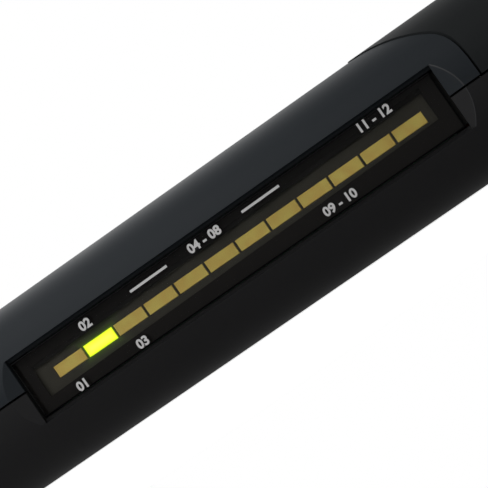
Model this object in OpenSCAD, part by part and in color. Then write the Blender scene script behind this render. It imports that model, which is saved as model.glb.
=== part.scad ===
// Hand-held diamond tester: a round two-shell handle with a light bar window,
// a sprung metal probe in a nose cone under a clear cap, a push button on top,
// and two cells under a sliding cover at the tail.
// +X runs from the nose to the tail, the window faces -Y and +Z is up.

/* [Handle] */
// Outside diameter of the round handle
body_d = 24.7; // [24.4:0.1:25.2]
// Wall thickness of the two shells
wall = 1.6; // [1.5:0.1:1.7]
// Depth of the flat strip along the underside
base_cut = 0.25; // [0.15:0.05:0.4]
// Height of the parting line above the axis of the handle
seam_rise = 0.25; // [0:0.05:0.4]
// Width of the shadow gap along the parting line
seam_gap = 0.3; // [0.2:0.05:0.4]
// Straight length from the lens forward to the taper
grip_l = 13.9; // [13:0.1:16]
// Length of the curved taper in front of the grip
taper_l = 26; // [24:0.5:30]
// Diameter at the small end of the taper
nose_d = 14.4; // [14.4:0.1:15]
// Radius round the tail end
tail_r = 5; // [4:0.5:6]

/* [Window] */
// Length of the smoked lens
lens_l = 68.2; // [67:0.2:69]
// Height of the smoked lens
lens_h = 8.6; // [8.2:0.1:8.8]
// Thickness of the smoked lens
lens_t = 1.1; // [0.9:0.1:1.3]
// Chamfer round the front face of the lens
lens_chamfer = 0.2; // [0.1:0.05:0.3]
// Gap between the lens ends and the shells
lens_end_gap = 0.5; // [0.3:0.05:0.7]
// Gap between the long sides of the lens and the shells
lens_side_gap = 0.15; // [0.1:0.05:0.2]
// Width of the ledge beside the long sides of the lens
ledge_w = 0.58; // [0.5:0.02:0.7]
// Depth of the ledge below the face of the lens
ledge_drop = 0.5; // [0.3:0.05:0.7]
// Depth of the well in front of the lens
well_depth = 1.6; // [1.4:0.05:1.7]
// Straight wall between the lens and the foot of the slope at each end
well_step = 0.35; // [0.25:0.05:0.4]
// Run of the slopes for each millimetre of their depth
well_run = 1.8; // [1.6:0.05:2]
// Dark border of the lens at each end of the slot
slot_end = 2.2; // [1.9:0.05:2.6]
// Space in the slot above and below the light bars
slot_side = 1.2; // [1:0.01:1.3]
// How far the slot sits toward the nose
slot_shift = 0.18; // [0:0.02:0.3]
// Tilt of the slot against the lens, in degrees
slot_tilt = 0.67; // [0:0.01:0.8]
// Space in the slot beyond the end bars
bar_end = 1.54; // [1.4:0.01:1.9]
// Gap between neighbouring light bars
bar_gap = 0.36; // [0.25:0.01:0.5]
// Height of one light bar
bar_h = 1.72; // [1.6:0.02:1.9]
// How far the row of light bars sits toward the tail
bar_shift = 0.24; // [0:0.02:0.3]
// How far the light bars sit below the middle of the lens
bar_drop = 0.14; // [0:0.02:0.2]
// Number of light bars
bar_count = 12; // [10:1:14]

/* [Tail cover] */
// Distance from the lens back to the straight side cut of the cover
cover_set = 5.25; // [4.8:0.05:7]
// Length of the cover behind its side cut
cover_l = 51.6; // [48:0.1:56]
// How far the cover stands proud of the shells
cover_proud = 0.16; // [0.1:0.01:0.3]
// Gap between the cover and the upper shell
cover_gap = 0.3; // [0.2:0.05:0.4]
// Half angle of the pointed tongue
tongue_angle = 36; // [35:0.5:40]
// Radius at the tip of the tongue
tongue_r = 1.2; // [1.2:0.1:2]
// Width over which the tongue flares into the side cut
flare_w = 3.6; // [3:0.05:4]
// Length of the latch under the upper shell
latch_l = 4; // [3:0.5:5]

/* [Nose and cap] */
// Length of the metal collar
collar_l = 2.5; // [2:0.1:3.5]
// Thickness of the front wall of the shells
front_wall = 2; // [1.6:0.1:2.4]
// Diameter of the spigot that holds the nose cone
spigot_d = 8; // [7.6:0.1:8.2]
// Length of the seat for the cap
seat_l = 4; // [3.5:0.5:5]
// Diameter of the seat for the cap
seat_d = 12; // [11.8:0.1:12.2]
// Length of the nose cone in front of its seat
cone_l = 11; // [10:0.5:13]
// Diameter at the front of the nose cone
cone_d = 5.2; // [4.8:0.1:6]
// Running clearance of the cap on its seat, on the radius
cap_fit = 0.08; // [0.05:0.01:0.1]
// Gap between the cap and the collar
cap_gap = 0.3; // [0.2:0.05:0.4]
// Thickness of the closed end of the cap
cap_end_t = 1.4; // [1.2:0.1:2]
// Free space in front of the pin inside the cap
cap_room = 1.9; // [1.5:0.1:3]
// Radius round the closed end of the cap
cap_r = 3; // [2:0.5:4]

/* [Probe] */
// Bore of the nose cone
bore_d = 5; // [4.8:0.1:5.2]
// Outside diameter of the fixed probe barrel
barrel_d = 3.2; // [2.8:0.1:3.4]
// Length of the barrel in front of the nose cone
barrel_out = 3; // [2:0.5:4]
// Thickness of the nose cone at the front of its bore
bore_end = 4.5; // [4:0.5:6]
// Diameter of the probe pin
pin_d = 1.3; // [1.1:0.05:1.4]
// Length of the pin in front of the barrel
pin_out = 3.2; // [2.5:0.1:4]
// Running clearance of the pin in the barrel, on the radius
pin_fit = 0.07; // [0.04:0.01:0.1]
// Running clearance of the pin head in the bore, on the radius
head_fit = 0.09; // [0.05:0.01:0.1]
// Length of the pin head
head_l = 3; // [2.5:0.1:3.5]
// Travel of the pin when it is pressed on a stone
pin_travel = 1.5; // [1:0.1:2]
// Wire diameter of the probe spring
spring_wire = 0.5; // [0.4:0.05:0.55]
// Number of turns of the probe spring
spring_turns = 5; // [4:0.5:5]

/* [Button] */
// Distance from the lens forward to the middle of the button
button_set = 7.9; // [7.5:0.1:9]
// Length of the button
button_l = 11.5; // [10:0.5:12]
// Width of the button
button_w = 6; // [5:0.5:6.5]
// How far the button stands proud of the handle
button_proud = 0.35; // [0.2:0.05:0.4]
// Gap round the button
button_gap = 0.25; // [0.2:0.05:0.35]
// Width of the rim that keeps the button inside the shell
button_rim = 0.9; // [0.8:0.1:1.1]
// Thickness of the rim of the button
button_rim_t = 0.8; // [0.7:0.1:1]
// Depth of the rim below the top of the shell's inside
button_deep = 1.6; // [1.5:0.1:1.8]
// Travel of the button
button_travel = 0.5; // [0.3:0.05:0.6]

/* [Cells] */
// Gap between the cells and the shells
cell_gap = 0.35; // [0.3:0.05:0.5]
// Half the gap between the two cells
cell_mid = 0.1; // [0.05:0.01:0.2]
// Distance of the cells behind the side cut of the cover
cell_set = 1.1; // [0.8:0.1:1.5]
// Room taken by the tail contacts behind the cells
tail_room = 6; // [5.8:0.1:6.4]
// Room between a cell and its contact plate
contact_gap = 2.4; // [2.2:0.1:2.6]
// Thickness of the contact plates
contact_t = 0.4; // [0.3:0.05:0.5]
// Wire diameter of the contact springs
contact_wire = 0.5; // [0.4:0.05:0.5]

/* [Finger plates] */
// Length of one finger plate
plate_l = 13; // [12:0.5:14]
// Height of one finger plate
plate_h = 6.4; // [5.6:0.2:7]
// How far the finger plates stand proud
plate_proud = 0.12; // [0.05:0.01:0.2]

/* [Inside] */
// Thickness of both circuit boards
board_t = 1.4; // [1.2:0.1:1.5]
// Gap between the main board's edges and the shell
board_gap = 0.98; // [0.8:0.02:1.2]
// Space between the two circuit boards
board_space = 1.35; // [1.2:0.05:1.6]
// Depth of the carrier of the light bars
carrier_t = 3; // [2.6:0.1:3.4]
// Thickness of the mask
mask_t = 0.3; // [0.2:0.05:0.4]
// Length of the chip
chip_l = 8; // [7:0.5:9]
// Width of the chip
chip_w = 6; // [5:0.5:7]
// Height of the chip
chip_h = 1.7; // [1.4:0.1:2]
// Diameter of one capacitor
can_d = 4; // [3:0.5:5]
// Height of one capacitor
can_h = 5; // [4:0.5:6]
// Space on both sides of the sounder
buzzer_side = 0.85; // [0.8:0.05:1.5]
// Height of the sounder
buzzer_h = 5; // [4:0.5:6]
// Length of the pin strip between the boards
header_l = 10; // [8:0.5:11]
// Width and height of the pin strip
header_w = 2.5; // [2:0.1:2.6]
// Width of the press switch
switch_w = 6; // [5:0.5:6]
// Height of the press switch
switch_h = 3.5; // [3:0.1:4]
// Diameter of the stem of the press switch
stem_d = 3.4; // [3:0.1:3.6]
// Diameter of the wires
lead_d = 1; // [0.8:0.1:1.2]
// Clearance between fixed pieces that meet
fit = 0.05; // [0.03:0.01:0.08]

/* [Fasteners] */
// Thread diameter of the case screws
screw_d = 2.2; // [2:0.1:2.4]
// Length of the case screws under the head
screw_l = 11; // [10:0.5:12]
// Head diameter of the case screws
screw_head_d = 4.4; // [4:0.1:4.6]
// Head height of the case screws
screw_head_h = 1.3; // [1.1:0.1:1.5]
// Thread diameter of the board screws
board_screw_d = 1.8; // [1.6:0.1:2]
// Length of the board screws below the board
board_screw_l = 1.5; // [1.2:0.1:1.6]
// Head diameter of the board screws
board_head_d = 3.4; // [3:0.1:3.6]
// Head height of the board screws
board_head_h = 1.1; // [0.9:0.1:1.3]

/* [Hidden] */
$fn = 96;
body_r = body_d / 2;
axis_z = body_r - base_cut;
inner_r = body_r - wall;
half_gap = seam_gap / 2;
half_l = lens_l / 2;
opening_h = lens_h / 2 + lens_side_gap + ledge_w;
taper_x = -half_l - grip_l;
cover_x = half_l + cover_set;
tail_x = cover_x + cover_l;
taper_drop = body_r - nose_d / 2;
taper_arc = (taper_l * taper_l + taper_drop * taper_drop) / (2 * taper_drop);
front_x = taper_x - taper_l;
collar_x = front_x - collar_l;
seat_x = collar_x - seat_l;
cone_x = seat_x - cone_l;
bore_x = cone_x + bore_end;
pin_x = cone_x - barrel_out - pin_out;
cap_x = pin_x - cap_room - cap_end_t;
overall = tail_x + cover_proud - cap_x;
win_x = -(tail_x + cover_proud + cap_x) / 2;
flange_x = front_x + front_wall + fit;
flange_t = 0.8 * front_wall;
stub_l = 3.5;
stub_y = 0.24 * bore_d;
socket_x = front_x - 2;
head_gap = 0.15;
head_x = bore_x + head_gap;
flare_y = body_r - flare_w;
tongue_v = cover_x - 0.25 - (flare_y + 1.5) / tan(tongue_angle);
well_y = body_r - well_depth;
slope_y = well_y + well_step;
lens_lead = 0.66 * lens_end_gap;
frame_y = well_y - lens_t - 0.1;
lens_y = well_y - 0.05;
mask_y = frame_y - fit;
mask_h = lens_h - 0.4;
bar_y = mask_y - mask_t - fit;
slot_l = lens_l - 2 * slot_end;
slot_h = bar_h + 2 * slot_side;
bar_pitch = (slot_l - 2 * bar_end) / bar_count;
bar_l = bar_pitch - bar_gap;
panel_y = bar_y - carrier_t - fit;
panel_l = slot_l + 1.5;
panel_h = lens_h + 0.8;
board_drop = panel_h / 2 - seam_rise + board_space;
board_z = -board_drop - board_t;
board_half = sqrt(inner_r * inner_r - board_z * board_z) - board_gap;
buzzer_d = board_half + panel_y - board_t - 2 * buzzer_side;
front_cell = cover_x + cell_set;
tail_cell = tail_x - tail_room;
cell_d = inner_r - cell_gap - cell_mid;
cell_y = cell_mid + cell_d / 2;
cell_l = tail_cell - front_cell;
contact_w = 0.35 * cell_d;
contact_h = 0.32 * cell_d;
nub_r = 0.184 * cell_d;
tray_wall = 1.4;
tray_gap = 0.25;
tray_front = front_cell - contact_gap - contact_t - tray_wall;
tray_rear = tail_cell + contact_gap + contact_t + tray_wall;
board_front = taper_x - 6;
board_rear = tray_front - 1.6;
screw_x = [-half_l + 6.1, 0.117 * lens_l];
board_screw_x = [board_front + 4, 0.425 * lens_l];
board_screw_y = board_half - 2;
boss_z = -board_drop + 1.8;
screw_seat = -inner_r + 1.35;
lit = 1;
switch_x = -half_l - button_set;
switch_top = -board_drop + switch_h;
stem_r = stem_d / 2;
stem_top = switch_top + 6.3;
lead_r = lead_d / 2;
bead_r = 1.2 * lead_r;
lead_z = -0.28 * cell_d;
spring_r = bore_d / 2 - spring_wire / 2 - 0.35;

// Places a piece that is drawn about the window centre on the axis.
module place() {
    translate([win_x, 0, axis_z])
        children();
}

// Turns a flat outline about the axis of the handle: first value radius, second value length.
module turned() {
    rotate([0, 90, 0])
        rotate_extrude()
            children();
}

// A round bar along X.
module bar_x(x0, x1, r) {
    translate([x0, 0, 0])
        rotate([0, 90, 0])
            cylinder(h = x1 - x0, r = r);
}

// A round wire between two points.
module rod(a, b, r) {
    d = b - a;
    translate(a)
        rotate([0, acos(d[2] / norm(d)), atan2(d[1], d[0])])
            cylinder(h = norm(d), r = r);
}

// A box by its least and greatest corners.
module block(a, b) {
    translate(a)
        cube(b - a);
}

// The handle's round form, drawn inward by o, with its front wall left out by f.
module form(o, f) {
    turned() {
        translate([0, taper_x])
            square([body_r - o, tail_x - tail_r - taper_x]);
        square([body_r - tail_r, tail_x - o]);
        intersection() {
            translate([body_r - tail_r, tail_x - tail_r])
                circle(r = tail_r - o);
            translate([0, tail_x - tail_r])
                square([body_r + 1, tail_r + 1]);
        }
        intersection() {
            translate([body_r - taper_arc, taper_x])
                circle(r = taper_arc - o);
            translate([0, front_x + f])
                square([body_r + 1, taper_l - f]);
        }
    }
}

// All space above a height.
module above(z) {
    block([front_x - 40, -body_d, z], [tail_x + 20, body_d, body_d]);
}

// All space below a height.
module below(z) {
    block([front_x - 40, -body_d, -body_d], [tail_x + 20, body_d, z]);
}

// Well in front of the lens, with a short wall and a slope at each end.
module window_well() {
    t = well_depth + 1;
    w = half_l + lens_end_gap;
    translate([0, 0, seam_rise - opening_h])
        linear_extrude(2 * opening_h)
            polygon([
                [-w, -well_y],
                [w, -well_y],
                [w, -slope_y],
                [w + t * well_run, -slope_y - t],
                [-w - t * well_run, -slope_y - t],
                [-w, -slope_y]]);
}

// Straight opening round the lens, with a ledge along its two long sides.
module window_opening() {
    w = half_l + lens_end_gap;
    h = lens_h / 2 + lens_side_gap;
    block([-w, -body_r, seam_rise - h], [w, -frame_y + 1, seam_rise + h]);
    block([-w, -body_r, seam_rise - opening_h], [w, -lens_y + ledge_drop, seam_rise + opening_h]);
}

// Thicker frame inside the shells round the window.
module window_frame() {
    intersection() {
        form(wall / 2, front_wall);
        block([-half_l - 3, -body_r, seam_rise - opening_h - 0.9], [half_l + 3, -frame_y, seam_rise + opening_h + 0.9]);
    }
}

function curve(t, a, b, c) = (1 - t) * (1 - t) * a + 2 * t * (1 - t) * b + t * t * c;

function flare(s) = [for (i = [0 : 6]) let (k = s > 0 ? i / 6 : 1 - i / 6)
    curve(k, [tongue_v + flare_y / tan(tongue_angle), s * flare_y],
        [cover_x, s * (cover_x - tongue_v) * tan(tongue_angle)], [cover_x, s * (body_r + 0.3)])];

// Plan of the cover with its pointed tongue, moved back by g.
module cover_plan(g) {
    tip_x = tongue_v + tongue_r / sin(tongue_angle);
    touch = [tip_x - tongue_r * sin(tongue_angle), tongue_r * cos(tongue_angle)];
    translate([g, 0, 0])
        linear_extrude(body_d) {
            polygon(concat([touch], flare(1), [[cover_x, body_d], [tail_x + 20, body_d],
                [tail_x + 20, -body_d], [cover_x, -body_d]], flare(-1), [[touch[0], -touch[1]]]));
            translate([tip_x, 0])
                circle(r = tongue_r);
        }
}

// Stadium outline of length l and width w.
module stadium(l, w) {
    square([l - w, w], center = true);
    translate([(l - w) / 2, 0])
        circle(d = w);
    translate([-(l - w) / 2, 0])
        circle(d = w);
}

// Upright stadium at the button, from z0 to z1, grown by g.
module button_column(g, z0, z1) {
    translate([switch_x, 0, z0])
        linear_extrude(z1 - z0)
            stadium(button_l + 2 * g, button_w + 2 * g);
}

// Finger plate form between two depths, grown by g.
module plate_form(o0, o1, g) {
    intersection() {
        difference() {
            form(o0, 0);
            form(o1, 0);
        }
        translate([taper_x - 5 - plate_l / 2, body_r + 1, seam_rise])
            rotate([90, 0, 0])
                linear_extrude(body_d + 2)
                    stadium(plate_l + 2 * g, plate_h + 2 * g);
    }
}

// Coil along X as one swept tube, from x0 to x1, radius r0 to r1.
module coil(x0, x1, r0, r1, turns, wire) {
    n = round(turns * 8);
    pts = [for (i = [0 : n], k = [0 : 5])
        let (t = i / n, a = 45 * i, r = r0 + (r1 - r0) * t + wire / 2 * cos(60 * k))
        [x0 + (x1 - x0) * t + wire / 2 * sin(60 * k), r * cos(a), r * sin(a)]];
    near = [for (i = [0 : n - 1], k = [0 : 5]) [6 * i + k, 6 * i + (k + 1) % 6, 6 * i + 6 + (k + 1) % 6]];
    far = [for (i = [0 : n - 1], k = [0 : 5]) [6 * i + k, 6 * i + 6 + (k + 1) % 6, 6 * i + 6 + k]];
    start = [for (k = [1 : 4]) [0, k + 1, k]];
    end = [for (k = [1 : 4]) [6 * n, 6 * n + k, 6 * n + k + 1]];
    polyhedron(points = pts, convexity = 8, faces = concat(start, near, far, end));
}

// Lip inside the parting line, c clear of the wall, up to a height of z1.
module seam_lip(c, z1) {
    difference() {
        intersection() {
            form(wall + c, front_wall);
            block([front_x, -body_r, seam_rise - 2.5], [tray_front - 1, body_r, z1]);
        }
        form(wall + 0.8, front_wall - 1);
        block([-half_l - 3.3, -body_r, -body_r], [tray_front, 0, body_r]);
    }
}

// Short lip from the frame of the window to the cover, above the tray.
module end_lip(c, z1) {
    intersection() {
        difference() {
            form(wall + c, front_wall);
            form(wall + 0.8, front_wall - 1);
        }
        union() {
            block([half_l + 3.1, -body_r, 0.15 - 1], [cover_x - 0.2, 0, z1]);
            block([tray_front - 1.1, 0, 0.15 - 1], [cover_x - 0.2, body_r, z1]);
        }
    }
}

// Cross recess for a screw head, pointing up from the origin.
module cross(l, w, h) {
    translate([0, 0, h / 2]) {
        cube([l, w, h], center = true);
        cube([w, l, h], center = true);
    }
}

// Lower half of the handle with bosses, board posts and an inner lip.
module lower_shell() {
    color("#1c1d1f")
    place()
    difference() {
        union() {
            intersection() {
                union() {
                    difference() {
                        form(0, 0);
                        form(wall, front_wall);
                    }
                    window_frame();
                }
                below(seam_rise - half_gap);
            }
            intersection() {
                form(wall / 2, front_wall);
                for (x = screw_x)
                    translate([x, 0, -body_r]) {
                        cylinder(h = body_r + board_z - 0.3, r = 3.6);
                        cylinder(h = body_r + boss_z, r = 2.6);
                    }
            }
            intersection() {
                form(wall / 2, front_wall);
                for (x = board_screw_x, s = [-1, 1])
                    translate([x, s * board_screw_y, -body_r])
                        cylinder(h = body_r + board_z, r = 1.9);
            }
            seam_lip(0.1, seam_rise + 1);
            seam_lip(-0.2, seam_rise - 0.6);
            end_lip(0.1, seam_rise + 1);
            end_lip(-0.2, seam_rise - 0.6);
        }
        below(-body_r + base_cut);
        window_well();
        window_opening();
        bar_x(front_x - 1, front_x + front_wall + 1, spigot_d / 2 + fit);
        plate_form(-1, 0.6, 0.15);
        for (x = screw_x)
            translate([x, 0, 0]) {
                translate([0, 0, -body_r - 1])
                    cylinder(h = body_r + 1 + screw_seat, r = screw_head_d / 2 + 0.3);
                translate([0, 0, screw_seat - 1])
                    cylinder(h = boss_z - screw_seat + 2, r = screw_d / 2 + 0.2);
            }
        for (x = board_screw_x, s = [-1, 1])
            translate([x, s * board_screw_y, board_z - board_screw_l - 0.3])
                cylinder(h = 3, r = board_screw_d / 2 + fit);
    }
}

// Upper half of the handle, in front of the cover.
module upper_shell() {
    color("#2b2d30")
    place()
    difference() {
        union() {
            intersection() {
                union() {
                    difference() {
                        form(0, 0);
                        form(wall, front_wall);
                    }
                    window_frame();
                }
                above(seam_rise + half_gap);
            }
            intersection() {
                form(wall / 2, front_wall);
                for (x = screw_x)
                    translate([x, 0, boss_z])
                        cylinder(h = body_r - boss_z, r = 2.6);
            }
        }
        cover_plan(0);
        window_well();
        window_opening();
        button_column(button_gap, 0, body_r + 2);
        bar_x(front_x - 1, front_x + front_wall + 1, spigot_d / 2 + fit);
        plate_form(-1, 0.6, 0.15);
        for (x = screw_x)
            translate([x, 0, boss_z - 1])
                cylinder(h = screw_seat + screw_l - boss_z + 2, r = screw_d / 2 + fit);
        for (i = [-2 : 2])
            translate([0.3 * lens_l + 2 * i, 0, 0])
                rotate([-55, 0, 0])
                    cylinder(h = body_r + 2, r = 0.6, $fn = 24);
    }
}

// Sliding cover over the cells with its latch.
module battery_cover() {
    color("#2b2d30")
    place() {
        intersection() {
            difference() {
                form(-cover_proud, 0);
                form(wall, front_wall);
            }
            above(seam_rise + half_gap);
            cover_plan(cover_gap);
        }
        tip = tongue_v + tongue_r / sin(tongue_angle) + cover_gap;
        block([tip - latch_l, -1.5, inner_r - 1.6], [tip + 3.4, 1.5, inner_r - 0.45]);
        block([tip + 1.4, -1.5, inner_r - 1.6], [tip + 3.4, 1.5, inner_r + 0.4]);
    }
}

// Metal ring between the shells and the nose cone.
module nose_collar() {
    color("#b9bcc0")
    place()
    turned()
    difference() {
        translate([0, collar_x])
            square([nose_d / 2, collar_l]);
        translate([0, collar_x - 1])
            square([spigot_d / 2 + fit, collar_l + 2]);
    }
}

// Nose cone with the cap seat, held by a flange inside the shells.
module nose_cone() {
    color("#17181a")
    place()
    turned()
    difference() {
        union() {
            polygon([[0, cone_x], [cone_d / 2, cone_x], [seat_d / 2 - 0.4, seat_x], [seat_d / 2, seat_x + 0.4],
                [seat_d / 2, collar_x], [0, collar_x]]);
            translate([0, collar_x - 0.5])
                square([spigot_d / 2, flange_x + 0.5 - collar_x + flange_t]);
            translate([0, flange_x])
                square([spigot_d / 2 + 1.2, flange_t]);
        }
        translate([0, bore_x])
            square([bore_d / 2, flange_x + flange_t + 1 - bore_x]);
        translate([0, cone_x - 1])
            square([barrel_d / 2 + fit, bore_end + 2]);
    }
}

// Clear cap over the nose.
module protective_cap() {
    color("#dfe6ea")
    place()
    turned()
    difference() {
        union() {
            translate([0, cap_x + cap_r])
                square([nose_d / 2, collar_x - cap_gap - cap_x - cap_r]);
            translate([0, cap_x])
                square([nose_d / 2 - cap_r, cap_r + 1]);
            intersection() {
                translate([nose_d / 2 - cap_r, cap_x + cap_r])
                    circle(r = cap_r);
                translate([0, cap_x])
                    square([nose_d, cap_r]);
            }
        }
        translate([0, cap_x + cap_r])
            square([seat_d / 2 + cap_fit, collar_x - cap_x]);
        translate([0, cap_x + cap_end_t])
            square([nose_d / 2 - cap_r, cap_r + 1]);
        intersection() {
            translate([nose_d / 2 - cap_r, cap_x + cap_r])
                circle(r = cap_r - nose_d / 2 + seat_d / 2 + cap_fit);
            translate([0, cap_x + cap_end_t])
                square([nose_d, cap_r + 2]);
        }
    }
}

// Fixed metal barrel round the pin.
module probe_barrel() {
    color("#c3c6ca")
    place()
    turned()
    difference() {
        translate([0, cone_x - barrel_out])
            square([barrel_d / 2, barrel_out + bore_end]);
        translate([0, cone_x - barrel_out - 1])
            square([pin_d / 2 + pin_fit, barrel_out + bore_end + 2]);
    }
}

// Sprung copper pin with its head.
module probe_pin() {
    color("#b87347")
    place()
    turned() {
        polygon([[0, pin_x + 0.3], [0.3, pin_x + 0.3], [pin_d / 2, pin_x + 2], [pin_d / 2, head_x],
            [bore_d / 2 - head_fit, head_x], [bore_d / 2 - head_fit, head_x + head_l], [0, head_x + head_l]]);
        intersection() {
            translate([0, pin_x + 0.3])
                circle(r = 0.3);
            translate([0, pin_x])
                square([1, 0.4]);
        }
    }
}

// Spring that pushes the pin forward.
module probe_spring() {
    color("#aeb2b6")
    place()
    coil(head_x + head_l + spring_wire / 2 + 0.05, socket_x - spring_wire / 2 - 0.05, spring_r, spring_r,
        spring_turns, spring_wire);
}
echo(probe_spring_gap = (socket_x - head_x - head_l - spring_wire - 0.1) / spring_turns - spring_wire,
    probe_spring_gap_pressed = (socket_x - head_x - head_l - spring_wire - 0.1 - pin_travel) / spring_turns
        - spring_wire);

// Plug behind the spring with two terminals.
module probe_socket() {
    color("#e3ddcf")
    place() {
        bar_x(socket_x, flange_x + flange_t + fit, bore_d / 2 - fit);
        bar_x(flange_x + flange_t + fit, flange_x + flange_t + 1.6, spigot_d / 2);
        for (s = [-1, 1])
            translate([0, s * stub_y, 0])
                bar_x(flange_x + flange_t + 1, flange_x + flange_t + stub_l, 0.8 * lead_r);
    }
}

// Two wires from the plug, bent down to the main board.
module probe_leads() {
    color("#a33b32")
    place()
    for (s = [-1, 1])
        translate([board_front + 2 * lead_d, s * stub_y, 0]) {
            bar_x(flange_x + flange_t + stub_l + fit - board_front - 2 * lead_d, 0, lead_r);
            sphere(r = bead_r);
            translate([0, 0, -board_drop + fit])
                cylinder(h = board_drop - fit, r = lead_r);
        }
}

// Smoked lens with a chamfered front edge, set close to the nose end of the well.
module display_lens() {
    color("#101113")
    place()
    translate([0, 0, seam_rise])
    difference() {
        block([-half_l - lens_lead, -lens_y, -lens_h / 2], [half_l, -lens_y + lens_t, lens_h / 2]);
        for (s = [-1, 1]) {
            translate([s > 0 ? half_l : -half_l - lens_lead, -lens_y, 0])
                rotate([0, 0, 45])
                    cube([lens_chamfer * sqrt(2), lens_chamfer * sqrt(2), lens_h + 2], center = true);
            translate([0, -lens_y, s * lens_h / 2])
                rotate([45, 0, 0])
                    cube([lens_l + 2, lens_chamfer * sqrt(2), lens_chamfer * sqrt(2)], center = true);
        }
    }
}

// Dark mask with the long slot.
module display_mask() {
    color("#0b0c0d")
    place()
    translate([0, 0, seam_rise])
    difference() {
        block([-half_l - 2, -mask_y, -mask_h / 2], [half_l + 2, -mask_y + mask_t, mask_h / 2]);
        translate([-slot_shift, 0, 0])
            rotate([0, -slot_tilt, 0])
                block([-slot_l / 2, -body_r, -slot_h / 2], [slot_l / 2, 0, slot_h / 2]);
    }
}

// Carrier of the light bars, with a pocket for each.
module led_bar() {
    color("#3a372c")
    place()
    translate([0, 0, seam_rise])
    difference() {
        block([-slot_l / 2 - 0.6, -bar_y, -slot_h / 2 - 0.6], [slot_l / 2 + 0.6, -bar_y + carrier_t, slot_h / 2 + 0.6]);
        for (i = [0 : bar_count - 1])
            bar_block(i, fit, 0.6);
    }
}

// One light bar, grown by g sideways, reaching e in front of and behind its rest length.
module bar_block(i, g, e) {
    x = bar_shift + (i - (bar_count - 1) / 2) * bar_pitch;
    block([x - bar_l / 2 - g, -bar_y - e, -bar_drop - bar_h / 2 - g],
        [x + bar_l / 2 + g, -bar_y + carrier_t - 0.2 + e, -bar_drop + bar_h / 2 + g]);
}

// Light bars that are off.
module led_segments() {
    color("#93834a")
    place()
    translate([0, 0, seam_rise])
    for (i = [0 : bar_count - 1])
        if (i != lit)
            bar_block(i, 0, 0);
}

// Light bar that is on when the tester is ready.
module ready_segment() {
    color("#c9e53a")
    place()
    translate([0, 0, seam_rise])
        bar_block(lit, 0, 0);
}

// Upright circuit board behind the light bars.
module display_board() {
    color("#2f6b41")
    place()
    block([-panel_l / 2, -panel_y, seam_rise - panel_h / 2], [panel_l / 2, -panel_y + board_t, seam_rise + panel_h / 2]);
}

// Pin strip that joins the two boards.
module board_header() {
    color("#1a1a1a")
    place() {
        x = -0.1 * lens_l - header_l / 2;
        y = -panel_y + board_t + fit;
        z = -board_drop + 1.6;
        block([x, y, z], [x + header_l, y + header_w, z + header_w]);
        for (i = [0 : 3])
            translate([x + header_l * (i + 0.5) / 4, y + header_w / 2, -board_drop + fit])
                cylinder(h = 2, r = 0.35, $fn = 24);
    }
}

// Main circuit board with holes for the bosses and its screws.
module main_board() {
    color("#2f6b41")
    place()
    difference() {
        block([board_front, -board_half, board_z], [board_rear, board_half, -board_drop]);
        for (x = screw_x)
            translate([x, 0, board_z - 1])
                cylinder(h = board_t + 2, r = 2.9);
        for (x = board_screw_x, s = [-1, 1])
            translate([x, s * board_screw_y, board_z - 1])
                cylinder(h = board_t + 2, r = board_screw_d / 2 + 0.2);
    }
}

// Main chip on the board.
module controller_chip() {
    color("#202124")
    place()
    translate([-0.275 * lens_l, 1.4, -board_drop])
    difference() {
        block([-chip_l / 2, -chip_w / 2, fit], [chip_l / 2, chip_w / 2, chip_h]);
        translate([1 - chip_l / 2, 1 - chip_w / 2, chip_h - 0.2])
            cylinder(h = 1, r = 0.5, $fn = 24);
    }
}

// Upright capacitors on the board.
module capacitors() {
    color("#34405c")
    place()
    for (x = [screw_x[0] - can_d - 3.6, -0.14 * lens_l, -0.055 * lens_l])
        translate([x, board_half - can_d / 2 - 1.4, -board_drop + fit])
            cylinder(h = can_h, r = can_d / 2);
}

// Round sounder on the board.
module buzzer() {
    color("#151617")
    place()
    translate([0.3 * lens_l, (board_half - panel_y + board_t) / 2, -board_drop + fit])
        difference() {
            cylinder(h = buzzer_h, r = buzzer_d / 2);
            translate([0, 0, buzzer_h - 0.6])
                cylinder(h = 2, r = 0.1 * buzzer_d);
        }
}

// Push button that follows the top of the handle.
module power_button() {
    color("#6b6f74")
    place()
    difference() {
        union() {
            intersection() {
                form(-button_proud, 0);
                button_column(0, inner_r - button_deep - button_rim_t, body_r + 2);
            }
            button_column(button_rim, inner_r - button_deep - button_rim_t, inner_r - button_deep);
            translate([switch_x, 0, stem_top - 1])
                cylinder(h = inner_r - button_deep + 1 - stem_top, r = stem_r + button_rim);
        }
        translate([switch_x, 0, stem_top - 2])
            cylinder(h = 2 + fit, r = stem_r + fit);
    }
}

// Fixed body of the press switch.
module switch_body() {
    color("#222326")
    place()
    difference() {
        block([switch_x - switch_w / 2, -switch_w / 2, -board_drop + fit], [switch_x + switch_w / 2, switch_w / 2, switch_top]);
        translate([switch_x, 0, switch_top - 2.5])
            cylinder(h = 4, r = stem_r + 0.1);
    }
}

// Stem of the press switch, moved by the button.
module switch_stem() {
    color("#3b3d41")
    place()
    translate([switch_x, 0, switch_top - 1.5])
        cylinder(h = stem_top - switch_top + 1.5, r = stem_r);
}

// Metal plates for the finger and thumb on both sides of the taper.
module finger_plates() {
    color("#b9bcc0")
    place()
    intersection() {
        plate_form(-plate_proud, 0.55, 0);
        union() {
            block([front_x, -body_d, -body_d], [0, -2, body_d]);
            block([front_x, 2, -body_d], [0, body_d, body_d]);
        }
    }
}

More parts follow.
